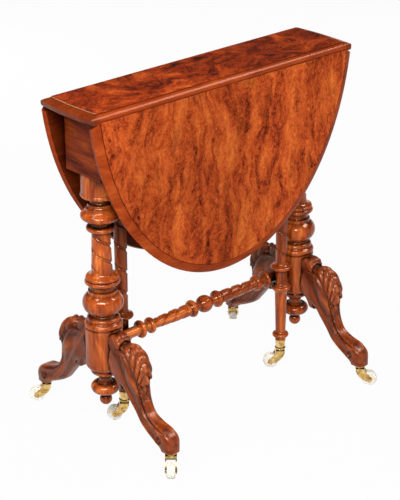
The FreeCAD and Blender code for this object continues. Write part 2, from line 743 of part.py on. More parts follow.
def stretcher_half():
    """Right half of the stretcher, turned from its middle ball out to the drum of the column."""
    end = COLUMN_X - DRUM_RADIUS
    shaft_head = (8.0, end - 93)
    shaft_foot = (10.6, 47)
    half = turned([
        (0, end + DRUM_RADIUS / 4),
        (STRETCHER_END_RADIUS, end + DRUM_RADIUS / 4),
        (STRETCHER_END_RADIUS, end - 47),
        (13.0, end - 48.5),
        (13.0, end - 57.5, 5.0),
        (9.0, end - 60),
        (9.0, end - 67, -0.8),
        (11.0, end - 72),
        (11.0, end - 84, 5.0),
        (*shaft_head, -1.0),
        shaft_foot,
        (12.5, 39),
        (12.5, 27, 5.0),
        (9.0, 23),
        (9.0, 15, -0.8),
        (12.4, 12.4),
        (17.5, 0, 1.5),
        (0, 0),
    ])
    half = cut_each(half, twist_grooves(shaft_foot, shaft_head, STRETCHER_TWISTS, STRETCHER_TWIST_SLOPE))
    half.rotate(ORIGIN, Y_AXIS, 90)
    half.translate(point(0, 0, STRETCHER_HEIGHT))
    seat = DRUM_RADIUS + GLUE_CLEARANCE
    drum = rod(seat, point(COLUMN_X, 0, COLUMN_FOOT), point(COLUMN_X, 0, DRUM_TOP))
    return join([half.cut(drum), stretcher_tenon(0)])


# Scroll legs, built for the rear leg of the right column

def leg_dowels(clearance):
    """Dowels of both legs of the right column, or the holes for them."""
    radius = DOWEL_RADIUS + clearance
    near = DRUM_RADIUS - DOWEL_LENGTH / 2 - clearance
    far = DRUM_RADIUS + DOWEL_LENGTH / 2 + clearance
    solids = []
    for side in (1, -1):
        for height in DOWEL_HEIGHTS:
            start = point(COLUMN_X, side * near, height)
            end = point(COLUMN_X, side * far, height)
            solids.append(rod(radius, start, end))
    return solids


def leg_point(out, up):
    """Point of the side view: out is 0 at the drum and 1 over the caster, up is 0 at the foot and 1
    at the top of the drum."""
    y = DRUM_RADIUS + out * (LEG_REACH - DRUM_RADIUS)
    return point(0, y, CASTER_HEIGHT + up * (DRUM_TOP - CASTER_HEIGHT))


def leg_root():
    """Block at the drum, with a shoulder at the top and a small scroll under it."""
    shoulder = [leg_point(-0.10, 0.98), leg_point(0.08, 1.0), leg_point(0.16, 0.97), leg_point(0.18, 0.92)]
    scroll = [leg_point(0.25, 0.46), leg_point(0.14, 0.45), leg_point(0.06, 0.54), leg_point(-0.10, 0.60)]
    edges = [
        smooth_edge(shoulder),
        Part.makeLine(shoulder[-1], scroll[0]),
        smooth_edge(scroll),
        Part.makeLine(scroll[-1], shoulder[0]),
    ]
    face = Part.Face(Part.Wire(edges))
    face.translate(point(-LEG_SHOULDER_HALF_WIDTH, 0, 0))
    return face.extrude(point(2 * LEG_SHOULDER_HALF_WIDTH, 0, 0))


def leg_section(back, belly, half_width):
    """Rounded section of the leg between a point of its back and one of its belly."""
    centre = (back + belly) * 0.5
    up = (back - belly).normalize()
    height = (back - belly).Length / 2
    radius = LEG_EDGE_RADIUS
    edges = []
    last = None
    for side, rise in ((1, 1), (-1, 1), (-1, -1), (1, -1)):
        corner = centre + X_AXIS * side * (half_width - radius) + up * rise * (height - radius)
        flank = corner + X_AXIS * side * radius
        crest = corner + up * rise * radius
        middle = corner + (X_AXIS * side + up * rise) * (radius / math.sqrt(2))
        first, second = (flank, crest) if side == rise else (crest, flank)
        if last is None:
            opening = first
        else:
            edges.append(Part.makeLine(last, first))
        edges.append(Part.Arc(first, middle, second).toShape())
        last = second
    edges.append(Part.makeLine(last, opening))
    return Part.Wire(edges)


def leg_scroll():
    """The S of the leg from its root over the knee and down to the foot, as sections from back to belly."""
    knee = LEG_KNEE_HALF_WIDTH
    ankle = LEG_ANKLE_HALF_WIDTH
    foot = LEG_FOOT_HALF_WIDTH
    return Part.makeLoft([
        leg_section(leg_point(0.04, 0.9), leg_point(-0.04, 0.6), LEG_ROOT_HALF_WIDTH),
        leg_section(leg_point(0.2, 0.925), leg_point(0.07, 0.54), LEG_ROOT_HALF_WIDTH),
        leg_section(leg_point(0.35, 0.93), leg_point(0.17, 0.49), knee),
        leg_section(leg_point(0.48, 0.865), leg_point(0.26, 0.44), knee),
        leg_section(leg_point(0.545, 0.745), leg_point(0.32, 0.375), (2 * knee + ankle) / 3),
        leg_section(leg_point(0.54, 0.6), leg_point(0.38, 0.315), (knee + 2 * ankle) / 3),
        leg_section(leg_point(0.56, 0.455), leg_point(0.45, 0.245), ankle),
        leg_section(leg_point(0.64, 0.315), leg_point(0.54, 0.165), ankle),
        leg_section(leg_point(0.78, 0.25), leg_point(0.68, 0.1), (ankle + foot) / 2),
        leg_section(leg_point(0.95, 0.215), leg_point(0.81, 0.05), foot),
        leg_section(leg_point(1.06, 0.15), leg_point(0.9, 0.0), foot),
        leg_section(leg_point(1.09, 0.0), leg_point(0.92, -0.08), LEG_TOE_HALF_WIDTH),
    ], True, False)


def make_legs(nodes):
    reach = FOOT_SPREAD
    under_foot = block(-reach, reach, -reach, reach, 0, CASTER_HEIGHT)
    seat = rod(DRUM_RADIUS + GLUE_CLEARANCE, ORIGIN, point(0, 0, TOP_HEIGHT))
    hole = placed(stem_hole(), 0, 0, LEG_REACH)
    leg = cut_all(join([leg_root(), leg_scroll()]), [under_foot, seat, hole])
    rear = cut_all(placed(leg, 0, COLUMN_X), leg_dowels(GLUE_CLEARANCE))
    front = cut_all(placed(leg, 180, COLUMN_X), leg_dowels(GLUE_CLEARANCE))
    nodes["rear_right_leg"] = [rear]
    nodes["front_right_leg"] = [front]
    nodes["front_left_leg"] = [half_turn(rear)]
    nodes["rear_left_leg"] = [half_turn(front)]
    dowels = leg_dowels(0)
    nodes["leg_dowels"] = dowels + [half_turn(solid) for solid in dowels]


# Casters, built at the origin with the wheel trailing towards +X

def stem_hole():
    radius = STEM_RADIUS + SWIVEL_CLEARANCE
    top = HUB_TOP + STEM_LENGTH + SWIVEL_CLEARANCE
    return rod(radius, point(0, 0, 0), point(0, 0, top))


def caster_plate():
    bore = STEM_RADIUS + PIN_CLEARANCE
    return turned([
        (bore, CASTER_HEIGHT),
        (PLATE_RADIUS, CASTER_HEIGHT),
        (PLATE_RADIUS - PLATE_BEVEL, PLATE_LOW),
        (bore, PLATE_LOW),
    ])


def caster_cup():
    bore = STEM_RADIUS + PIN_CLEARANCE
    flange = CUP_FOOT_RADIUS + CUP_FLANGE
    return turned([
        (bore, CASTER_HEIGHT),
        (CUP_FOOT_RADIUS - CUP_WALL + GLUE_CLEARANCE, CASTER_HEIGHT),
        (CUP_MOUTH_RADIUS - CUP_WALL + GLUE_CLEARANCE, CUP_TOP),
        (CUP_MOUTH_RADIUS, CUP_TOP),
        (CUP_FOOT_RADIUS, CASTER_HEIGHT),
        (flange, CASTER_HEIGHT - PLATE_BEVEL),
        (flange, PLATE_LOW),
        (bore, PLATE_LOW),
    ])


def caster_horn():
    """Swivel stem, round hub and a forked horn whose cheeks reach back to the axle."""
    axle = point(CASTER_TRAIL, 0, AXLE_Z)
    tangent = math.radians(HORN_SLOPE)
    rear = axle + point(BOSS_RADIUS * math.cos(tangent), 0, BOSS_RADIUS * math.sin(tangent))
    under = axle + point(0, 0, -BOSS_RADIUS)
    front = axle + point(-BOSS_RADIUS * math.cos(tangent), 0, -BOSS_RADIUS * math.sin(tangent))
    nose = point(-HUB_RADIUS, 0, YOKE_TOP)
    chin = point(-HUB_RADIUS, 0, YOKE_LOW + YOKE_HEIGHT / 3)
    crown = point(HUB_RADIUS, 0, YOKE_TOP)
    edges = [
        Part.makeLine(nose, crown),
        bowed_edge(crown, rear, -HORN_BOW / 2),
        Part.Arc(rear, under, front).toShape(),
        bowed_edge(front, chin, HORN_BOW),
        Part.makeLine(chin, nose),
    ]
    cheek = Part.Face(Part.Wire(edges))
    cheek.translate(point(0, -YOKE_HALF_WIDTH, 0))
    fork = cheek.extrude(point(0, 2 * YOKE_HALF_WIDTH, 0))
    half_slot = WHEEL_WIDTH / 2 + CHEEK_GAP
    reach = CASTER_TRAIL + WHEEL_RADIUS
    slot = block(-reach, reach, -half_slot, half_slot, 0, YOKE_LOW)
    wheel_arc = rod(WHEEL_RADIUS + CHEEK_GAP, axle - Y_AXIS * half_slot, axle + Y_AXIS * half_slot)
    hub = turned([
        (0, HUB_TOP + STEM_LENGTH),
        (STEM_RADIUS, HUB_TOP + STEM_LENGTH),
        (STEM_RADIUS, HUB_TOP),
        (HUB_RADIUS, HUB_TOP),
        (HUB_RADIUS, YOKE_TOP, HUB_HEIGHT / 4),
        (HUB_RADIUS, YOKE_LOW + YOKE_HEIGHT / 3),
        (0, YOKE_LOW + YOKE_HEIGHT / 3),
    ])
    horn = join([cut_all(fork, [slot, wheel_arc]), hub])
    side = Y_AXIS * (YOKE_HALF_WIDTH + AXLE_HEAD)
    return horn.cut(rod(AXLE_RADIUS + PIN_CLEARANCE, axle - side, axle + side))


def caster_axle():
    half = YOKE_HALF_WIDTH + AXLE_HEAD
    return rod(AXLE_RADIUS, point(CASTER_TRAIL, -half, AXLE_Z), point(CASTER_TRAIL, half, AXLE_Z))


def caster_wheel():
    half = WHEEL_WIDTH / 2
    bore = AXLE_RADIUS + PIN_CLEARANCE
    shoulder = WHEEL_RADIUS - WHEEL_EDGE
    tread = WHEEL_RADIUS - WHEEL_CROWN
    wheel = turned([
        (bore, half),
        (shoulder, half),
        (tread, half - WHEEL_EDGE, WHEEL_EDGE / 4),
        (tread, WHEEL_EDGE - half, WHEEL_CROWN),
        (shoulder, -half, WHEEL_EDGE / 4),
        (bore, -half),
    ])
    wheel.rotate(ORIGIN, X_AXIS, 90)
    wheel.translate(point(CASTER_TRAIL, 0, AXLE_Z))
    return wheel


def caster_places():
    """Name, x, y, trailing direction and holder of each caster."""
    x = COLUMN_X
    y = LEG_REACH
    return [
        ("front_left", -x, -y, FRONT_TRAIL, "plate"),
        ("rear_right", x, y, FRONT_TRAIL + 180, "plate"),
        ("front_right", x, -y, SIDE_TRAIL + 180, "plate"),
        ("rear_left", -x, y, SIDE_TRAIL, "plate"),
        ("front_gate", GATE_LEG_X, -GATE_LEG_OFFSET, SIDE_TRAIL, "cup"),
        ("rear_gate", -GATE_LEG_X, GATE_LEG_OFFSET, SIDE_TRAIL, "cup"),
    ]


def make_casters(nodes):
    holders = {"plate": caster_plate(), "cup": caster_cup()}
    horn = caster_horn()
    axle = caster_axle()
    wheel = caster_wheel()
    for name, x, y, angle, holder in caster_places():
        nodes[name + "_caster_" + holder] = [placed(holders[holder], angle, x, y)]
        nodes[name + "_caster_horn"] = [placed(horn, angle, x, y)]
        nodes[name + "_caster_axle"] = [placed(axle, angle, x, y)]
        nodes[name + "_caster_wheel"] = [placed(wheel, angle, x, y)]


def main():
    nodes = {}
    make_top(nodes)
    make_frieze(nodes)
    make_gates(nodes)
    make_columns(nodes)
    make_legs(nodes)
    make_casters(nodes)
    os.makedirs("parts", exist_ok=True)
    for name, solids in nodes.items():
        shape = solids[0] if len(solids) == 1 else Part.makeCompound(solids)
        if not shape.isValid():
            print("not valid:", name)
        print(name, len(shape.Solids), "solids", round(shape.Volume / 1000, 2), "cm3")
        shape.exportStep("parts/" + name + ".step")


main()
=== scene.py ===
import math

import bpy
import numpy as np
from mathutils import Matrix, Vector


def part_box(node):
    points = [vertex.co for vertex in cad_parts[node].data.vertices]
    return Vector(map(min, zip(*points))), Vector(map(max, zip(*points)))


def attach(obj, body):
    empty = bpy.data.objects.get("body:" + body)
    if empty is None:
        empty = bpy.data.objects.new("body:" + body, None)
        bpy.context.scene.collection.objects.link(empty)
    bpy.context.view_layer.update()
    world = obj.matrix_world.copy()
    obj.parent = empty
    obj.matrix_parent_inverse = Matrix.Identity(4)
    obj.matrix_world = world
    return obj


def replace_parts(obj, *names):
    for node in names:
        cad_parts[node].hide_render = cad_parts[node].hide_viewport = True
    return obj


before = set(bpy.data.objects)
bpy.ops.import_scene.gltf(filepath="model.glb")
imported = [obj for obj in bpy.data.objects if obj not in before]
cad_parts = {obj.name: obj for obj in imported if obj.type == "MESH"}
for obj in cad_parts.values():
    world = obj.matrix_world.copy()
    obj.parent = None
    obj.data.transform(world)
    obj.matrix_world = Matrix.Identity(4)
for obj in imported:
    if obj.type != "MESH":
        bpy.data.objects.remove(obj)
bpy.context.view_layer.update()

# Looks of the Sutherland table around its packed construction. Metres, +Z up.

# Camera, fitted to the corners of the top and the feet in the photograph
CAMERA_PLACE = Vector((-2.0861, -2.3321, 1.7212))
CAMERA_TARGET = Vector((0, 0, 0.340))
CAMERA_ROLL = math.radians(-0.33)
CAMERA_LENS = 125.97
CAMERA_SHIFT = (-0.0076, -0.0235)

# Lamps: name, place, target, width and height, watts, and whether they show in all, only as light on surfaces
# or only as reflections in them
LAMPS = (
    ("key_strip", (-1.25, -1.50, 1.72), (0, 0, 0.35), (2.2, 0.30), 70, "light"),
    ("front_fill", (-0.9, -2.4, 2.2), (0, 0, 0.45), (1.6, 1.0), 21, "all"),
    ("left_fill", (-2.4, -0.4, 1.4), (-0.3, 0, 0.40), (0.3, 1.2), 2.5, "all"),
    ("ring_softbox", (-1.60, -1.20, 1.75), (-0.2, 0, 0.30), (1.5, 0.45), 92, "reflections"),
    ("edge_softbox", (1.50, -1.10, 2.40), (0, -0.07, 0.68), (1.4, 0.8), 70, "reflections"),
    ("rear_fill", (0.5, 2.7, 0.95), (0, 0, 0.40), (1.4, 0.6), 50, "light"),
    ("right_fill", (2.7, 0.3, 0.95), (0.3, 0, 0.40), (1.0, 0.6), 30, "light"),
    ("end_glow", (-0.95, 0.15, 1.75), (-0.30, 0, 0.69), (0.4, 0.4), 9, "all"),
)
WORLD_STRENGTH = 0.08

# Colours, as they look on a screen, from dark to light
WALNUT = ((70, 20, 8), (132, 52, 18), (174, 79, 29), (212, 115, 50))
# Painted shade: a darker copy of the turned walnut for the rear gate leg, which stands in shade
PAINTED_SHADE_WALNUT = ((66, 21, 8), (110, 43, 15), (136, 58, 21), (158, 76, 31))
DARK_WALNUT = ((44, 13, 5), (102, 38, 13), (145, 62, 23), (192, 100, 46))
RIM_WALNUT = ((108, 37, 13), (135, 50, 17), (150, 60, 22), (168, 76, 32))
FRIEZE_WALNUT = ((48, 14, 5), (90, 31, 11), (124, 49, 18), (158, 73, 32))
FLAP_BURR = ((66, 22, 10), (138, 51, 21), (174, 72, 30), (194, 90, 38), (211, 110, 46))
TOP_BURR = ((30, 6, 2), (86, 25, 8), (138, 46, 13), (168, 63, 20), (204, 96, 39))
CARCASE = ((48, 25, 13), (74, 41, 22), (96, 56, 31), (116, 72, 42))
BRASS = ((150, 112, 56), (212, 174, 104), (244, 220, 160))
PORCELAIN = ((214, 205, 188), (240, 235, 224))
IRON = ((40, 37, 34), (84, 80, 76))
# Painted shadow: dark beads along the quirks between the flap veneers and their rims
QUIRK_SHADOW = ((44, 14, 6), (92, 34, 14))
# Painted highlight: light beads along the fillets between the top's veneer and its end mouldings
FILLET_HIGHLIGHT = ((150, 92, 58), (206, 160, 124))
PAPER = ((184, 184, 182), (186, 186, 185))
SHELLAC_TINT = (1.0, 0.70, 0.52, 1.0)

# Polish: roughness and specular level of turnings, carving, rims and veneers
TURNED_ROUGHNESS = 0.12
CARVED_ROUGHNESS = 0.30
TURNED_SHINE = 0.38
RIM_ROUGHNESS = 0.3
RIM_SHINE = 0.04
BURR_ROUGHNESS = 0.42
BURR_SHINE = 0.03

# How far painted shade and dust reach into corners and fine grooves, darker end grain, painted shade inside
# flaps
CORNER_REACH = 0.025
GROOVE_REACH = 0.006
END_GRAIN_START = 0.309
END_GRAIN_FADE = 0.004
END_GRAIN_SHADE = 0.62
PAINTED_UNDERSIDE_SHADE = 0.36

# Scroll legs: back, belly and half width of their sections from the drum to the foot. Out is 0 at the
# drum and 1 over the caster, up is 0 at the foot and 1 at the top of the leg.
DRUM_RADIUS = 0.036
LEG_BACK = (
    (0.04, 0.90), (0.20, 0.925), (0.35, 0.93), (0.48, 0.865), (0.545, 0.745), (0.54, 0.60),
    (0.56, 0.455), (0.64, 0.315), (0.78, 0.25), (0.95, 0.215), (1.06, 0.15), (1.09, 0.0),
)
LEG_BELLY = (
    (-0.04, 0.60), (0.07, 0.54), (0.17, 0.49), (0.26, 0.44), (0.32, 0.375), (0.38, 0.315),
    (0.45, 0.245), (0.54, 0.165), (0.68, 0.10), (0.81, 0.05), (0.90, 0.0), (0.92, -0.08),
)
LEG_HALF_WIDTHS = (0.019, 0.019, 0.021, 0.021, 0.0187, 0.0163, 0.014, 0.014, 0.0158, 0.0175, 0.0175, 0.014)
LEG_SQUARENESS = 3.4
LEG_FIBRE_TILT = math.radians(-40)
LEG_ROWS = 240
LEG_COLUMNS = 144

# Root of a leg at the drum: outlines of its shoulder and of the scroll under it, and the lobes of its leaf
LEG_SHOULDER = ((-0.10, 0.98), (0.08, 1.0), (0.16, 0.97), (0.18, 0.92))
LEG_SCROLL = ((0.25, 0.46), (0.14, 0.45), (0.06, 0.54), (-0.10, 0.60))
SHOULDER_ROWS = 40
ROOT_SCROLL_ROWS = 24
ROOT_COLUMNS = 31
ROOT_HALF_WIDTH = 0.0165
ROOT_EDGE = 0.005
ROOT_LOBES = 3
ROOT_LOBE_SLANT = 0.8
ROOT_LOBE_DEPTH = 0.0022
ROOT_RIB_DEPTH = 0.001
ROOT_RIB_WIDTH = 0.1

# Carving on the legs: heights and depths in metres, widths in quarter turns of the section. The grooves lose
# some of their depth on the way to the ankle.
BEAD_HEIGHT = 0.0019
BEAD_WIDTH = 0.06
GROOVE_DEPTH = 0.0038
GROOVE_DEPTH_LOST = 0.0018
GROOVE_WIDTH = 0.085
BAND_HEIGHT = 0.0014
BAND_WIDTH = 0.14
BAND_DISTANCE = 0.24
LEAF_HEIGHT = 0.0044
LEAF_BED = 0.0018
LEAF_RIB_DEPTH = 0.0014
LEAF_RIB_WIDTH = 0.06
GROUND_DEPTH = 0.0019
SCALE_HEIGHT = 0.0012
ROOT_SCROLL_HEIGHT = 0.0028

# Scroll eye of the foot: its middle as out and up, then the radius, width and height of its rim and its groove
LEG_EYE = (0.90, 0.11)
EYE_RIM = (0.0095, 0.0024, 0.0005)
EYE_GROOVE = (0.0052, 0.0021, -0.0030)

# Stretcher: distance from the middle, radius and the bulge of the curve from the entry before
STRETCHER_PROFILE = (
    (0.0, 0.0175), (0.0124, 0.0124, 0.0015), (0.015, 0.009), (0.023, 0.009, -0.0008), (0.027, 0.0125),
    (0.039, 0.0125, 0.005), (0.0405, 0.0112), (0.044, 0.0128, 0.0004), (0.126, 0.0102, 0.0006),
    (0.135, 0.011, -0.0008), (0.147, 0.0115, 0.005), (0.152, 0.009), (0.159, 0.009, -0.0008),
    (0.1615, 0.013), (0.1705, 0.013, 0.005), (0.172, 0.0105), (0.217, 0.0105),
)
TWIST_SPAN = (0.044, 0.124)
TWIST_FADE = 0.006
TWIST_STARTS = 2
TWIST_LEAD = 0.056
TWIST_DEPTH = 0.0026
TWIST_WIDTH = 0.0027
TURNING_COLUMNS = 96
TURNING_ROWS = 14
SHAFT_ROWS = 140

# Rule joint axis, and the beads of painted shadow in the quirk and of painted highlight on the fillet between
# the veneer and the moulded rim. Their rise over the board is a share of their radius.
HINGE_Y = 0.064
HINGE_Z = 0.676
QUIRK_RADIUS = 0.0007
QUIRK_SIDES = 8
QUIRK_STEPS = 160
QUIRK_RISE = 0.5
FILLET_STEPS = 60
FILLET_RISE = 0.3
QUIRK_END_GAP = 0.001

# Floor: sides of its outline, radius and height of its rings, and the share of plain white that it shows
FLOOR_SIDES = 96
FLOOR_RINGS = ((12.0, 0.0), (13.0, 0.3), (13.4, 1.2), (13.4, 2.4))
FLOOR_WHITE = 0.96


def linear(colour):
    """Scene-linear colour of a screen colour of 0 to 255."""
    parts = []
    for value in colour:
        share = value / 255
        parts.append(share / 12.92 if share <= 0.04045 else ((share + 0.055) / 1.055) ** 2.4)
    return (*parts, 1.0)


# Shader nodes

def assign(tree, item, values):
    """Inputs of a node, by name or index: numbers and vectors are set, sockets are linked."""
    for name, value in values.items():
        if isinstance(value, bpy.types.NodeSocket):
            tree.links.new(value, item.inputs[name])
        else:
            item.inputs[name].default_value = value


def add(tree, kind, values=None, **settings):
    """One shader node with its settings and inputs."""
    item = tree.nodes.new("ShaderNode" + kind)
    for name, setting in settings.items():
        setattr(item, name, setting)
    assign(tree, item, values or {})
    return item


def new_material(name):
    """A material, its node tree and its shader."""
    material = bpy.data.materials.new(name)
    material.use_nodes = True
    tree = material.node_tree
    return material, tree, tree.nodes["Principled BSDF"]


def stretched(tree, scale, turn=(0, 0, 0)):
    """The piece's own coordinates, turned, then scaled differently along and across the fibres."""
    place = add(tree, "TexCoord").outputs["Object"]
    turned = add(tree, "Mapping", {"Vector": place, "Rotation": turn}).outputs["Vector"]
    return add(tree, "Mapping", {"Vector": turned, "Scale": scale}).outputs["Vector"]


def noise(tree, vector, detail, roughness, distortion=0.0):
    values = {"Vector": vector, "Scale": 1.0, "Detail": detail, "Roughness": roughness}
    return add(tree, "TexNoise", {**values, "Distortion": distortion}).outputs["Fac"]


def math_node(tree, operation, first, second):
    return add(tree, "Math", {0: first, 1: second}, operation=operation).outputs["Value"]


def vector_node(tree, operation, first, second):
    return add(tree, "VectorMath", {0: first, 1: second}, operation=operation).outputs[0]


def weighted_sum(tree, parts):
    """Sum of pairs of a value and its weight."""
    total = None
    for value, weight in parts:
        part = math_node(tree, "MULTIPLY", value, weight)
        total = part if total is None else math_node(tree, "ADD", total, part)
    return total


def remap(tree, value, low, high, to_low, to_high):
    """Value from low to high, moved to the range from to_low to to_high and held there."""
    values = {"Value": value, "From Min": low, "From Max": high, "To Min": to_low, "To Max": to_high}
    return add(tree, "MapRange", values).outputs["Result"]


def ramp(tree, factor, colours, low, high):
    """Colours spread evenly over the factor from low to high."""
    item = add(tree, "ValToRGB", {"Fac": factor})
    stops = item.color_ramp.elements
    while len(stops) < len(colours):
        stops.new(0.5)
    for index, colour in enumerate(colours):
        stops[index].position = low + (high - low) * index / (len(colours) - 1)
        stops[index].color = linear(colour)
    return item.outputs["Color"]


def multiplied(tree, colour, factor):
    values = {"Factor": 1.0, 6: colour, 7: factor}
    return add(tree, "Mix", values, data_type="RGBA", blend_type="MULTIPLY").outputs[2]


def bumped(tree, height, strength, distance):
    return add(tree, "Bump", {"Height": height, "Strength": strength, "Distance": distance}).outputs["Normal"]


def crevice_dust_and_painted_shade(tree, reach, darkest):
    """Painted shade in hollows and inner corners, deeper the more enclosed they are, with some dust."""
    open_share = add(tree, "AmbientOcclusion", {"Distance": reach}, samples=8).outputs["AO"]
    return math_node(tree, "POWER", remap(tree, open_share, 0.35, 0.95, darkest, 1.0), 1.5)


def end_grain_shade(tree, start):
    """Polish sinks deeper into the end grain beyond a distance from the middle of the table."""
    place = add(tree, "TexCoord").outputs["Object"]
    away = math_node(tree, "ABSOLUTE", add(tree, "SeparateXYZ", {0: place}).outputs["X"], 0.0)
    return remap(tree, away, start - END_GRAIN_FADE, start + END_GRAIN_FADE, 1.0, END_GRAIN_SHADE)


def painted_underside_shade(tree, facing):
    """Painted shade on the face of a board that faces a given way, used for the inner face of a hanging flap.
    """
    normal = add(tree, "TexCoord").outputs["Normal"]
    share = add(tree, "VectorMath", {0: normal, 1: facing}, operation="DOT_PRODUCT").outputs["Value"]
    return remap(tree, share, 0.80, 0.95, 1.0, PAINTED_UNDERSIDE_SHADE)


# Materials

def polished_wood(
        name, colours, along, roughness, shine, shade=0.45, turn=(0, 0, 0), ends=None, under=None, groove_shade=None):
    """French polished wood with its fibres along one axis (0, 1 or 2) of the turned piece. Shade and
    groove_shade are the darkest that painted shade, with some dust, makes its corners and fine grooves, ends is
    where its end grain begins, and under is the way that its face with painted shade faces."""
    material, tree, shader = new_material(name)

    def fibres(across, lengthwise):
        scale = [across] * 3
        scale[along] = lengthwise
        return stretched(tree, scale, turn)

    figure = noise(tree, fibres(22.0, 5.0), 3.0, 0.55, 1.6)
    grain = noise(tree, fibres(190.0, 12.0), 6.0, 0.65, 0.6)
    pores = noise(tree, fibres(1100.0, 60.0), 2.0, 0.5)
    colour = ramp(tree, weighted_sum(tree, ((figure, 0.6), (grain, 0.4))), colours, 0.32, 0.66)
    colour = multiplied(tree, colour, remap(tree, pores, 0.30, 0.44, 0.80, 1.0))
    # Painted shade, with some dust, in corners and in fine grooves
    colour = multiplied(tree, colour, crevice_dust_and_painted_shade(tree, CORNER_REACH, shade))
    if groove_shade:
        colour = multiplied(tree, colour, crevice_dust_and_painted_shade(tree, GROOVE_REACH, groove_shade))
    if ends:
        colour = multiplied(tree, colour, end_grain_shade(tree, ends))
    # Painted shade on the inner face of a hanging flap
    if under:
        colour = multiplied(tree, colour, painted_underside_shade(tree, under))
    assign(tree, shader, {
        "Base Color": colour,
        "Roughness": remap(tree, grain, 0.3, 0.7, 0.85 * roughness, 1.2 * roughness),
        "Normal": bumped(tree, pores, 0.05, 0.0004),
        "Specular IOR Level": shine,
        "Specular Tint": SHELLAC_TINT,
    })
    return material


def burr_veneer(name, colours, streak_scale, bend):
    """Burr walnut leaf: feathered streaks, swirling mottle, clusters of small eyes and open pores."""
    material, tree, shader = new_material(name)
    place = stretched(tree, (1, 1, 1))
    swirl = add(tree, "TexNoise", {"Vector": place, "Scale": 7.0, "Detail": 3.0}).outputs["Color"]
    shift = vector_node(tree, "SUBTRACT", swirl, (0.5, 0.5, 0.5))
    shift = add(tree, "VectorMath", {0: shift, "Scale": bend}, operation="SCALE").outputs[0]
    bent = vector_node(tree, "ADD", place, shift)

    def at(scale):
        return vector_node(tree, "MULTIPLY", bent, scale)

    def along_streaks(share):
        return at([share * part for part in streak_scale])

    broad = noise(tree, along_streaks(0.35), 2.0, 0.5, 0.8)
    patches = noise(tree, along_streaks(0.16), 2.0, 0.5, 0.5)
    streaks = noise(tree, along_streaks(1.0), 6.0, 0.62, 1.2)
    veins = noise(tree, along_streaks(1.9), 3.0, 0.55, 0.9)
    mottle = noise(tree, at((75, 75, 60)), 7.0, 0.68, 1.5)
    grit = noise(tree, at((300, 300, 200)), 4.0, 0.7, 0.8)
    eyes = add(tree, "TexVoronoi", {"Vector": at((150, 150, 120)), "Scale": 1.0}).outputs["Distance"]
    clusters = noise(tree, at((11, 11, 8)), 2.0, 0.5)
    pores = noise(tree, at((700, 700, 300)), 2.0, 0.5)
    figure = weighted_sum(tree, ((streaks, 0.35), (mottle, 0.23), (broad, 0.16), (grit, 0.26)))
    colour = ramp(tree, figure, colours, 0.405, 0.585)
    colour = multiplied(tree, colour, remap(tree, patches, 0.38, 0.58, 0.80, 1.06))
    colour = multiplied(tree, colour, remap(tree, veins, 0.54, 0.68, 1.0, 0.62))
    eye_dark = remap(tree, eyes, 0.08, 0.30, 0.45, 1.0)
    in_cluster = remap(tree, clusters, 0.50, 0.60, 0.0, 1.0)
    eye_shade = add(tree, "Mix", {"Factor": in_cluster, 2: 1.0, 3: eye_dark}, data_type="FLOAT").outputs[0]
    colour = multiplied(tree, colour, eye_shade)
    colour = multiplied(tree, colour, remap(tree, pores, 0.30, 0.45, 0.74, 1.0))
    assign(tree, shader, {
        "Base Color": colour,
        "Roughness": remap(tree, mottle, 0.3, 0.7, BURR_ROUGHNESS - 0.05, BURR_ROUGHNESS + 0.07),
        "Normal": bumped(tree, pores, 0.06, 0.0003),
        "Specular IOR Level": BURR_SHINE,
        "Specular Tint": SHELLAC_TINT,
    })
    return material


def planed_wood():
    """Unpolished wood of the hidden rails, bearers and blocks."""
    material, tree, shader = new_material("carcase_wood")
    grain = noise(tree, stretched(tree, (9, 160, 160)), 6.0, 0.65, 0.5)
    figure = noise(tree, stretched(tree, (4, 24, 24)), 3.0, 0.5, 1.0)
    value = weighted_sum(tree, ((grain, 0.5), (figure, 0.5)))
    assign(tree, shader, {
        "Base Color": ramp(tree, value, CARCASE, 0.34, 0.66),
        "Roughness": 0.72,
        "Normal": bumped(tree, grain, 0.25, 0.0006),
        "Specular IOR Level": 0.15,
    })
    return material


def metal(name, colours, bright_roughness, dull_roughness):
    """Cast metal with a worn, uneven patina, painted shade with some dust in its hollows, and fine casting
    grain.
    """
    material, tree, shader = new_material(name)
    patina = noise(tree, stretched(tree, (90, 90, 90)), 6.0, 0.65, 0.6)
    cast = noise(tree, stretched(tree, (1400, 1400, 1400)), 3.0, 0.5)
    colour = ramp(tree, patina, colours, 0.36, 0.66)
    assign(tree, shader, {
        # Painted shade, with some dust, in the hollows
        "Base Color": multiplied(tree, colour, crevice_dust_and_painted_shade(tree, GROOVE_REACH, 0.35)),
        "Roughness": remap(tree, patina, 0.3, 0.7, dull_roughness, bright_roughness),
        "Normal": bumped(tree, cast, 0.05, 0.0003),
        "Metallic": 1.0,
    })
    return material


def porcelain():
    """White glazed porcelain with faint stains and an uneven glaze."""
    material, tree, shader = new_material("porcelain")
    stain = noise(tree, stretched(tree, (60, 60, 60)), 5.0, 0.6)
    orange_peel = noise(tree, stretched(tree, (320, 320, 320)), 2.0, 0.5)
    assign(tree, shader, {
        "Base Color": ramp(tree, stain, PORCELAIN, 0.35, 0.6),
        "Roughness": remap(tree, stain, 0.3, 0.7, 0.22, 0.36),
        "Normal": bumped(tree, orange_peel, 0.02, 0.0003),
        "Specular IOR Level": 0.25,
    })
    return material


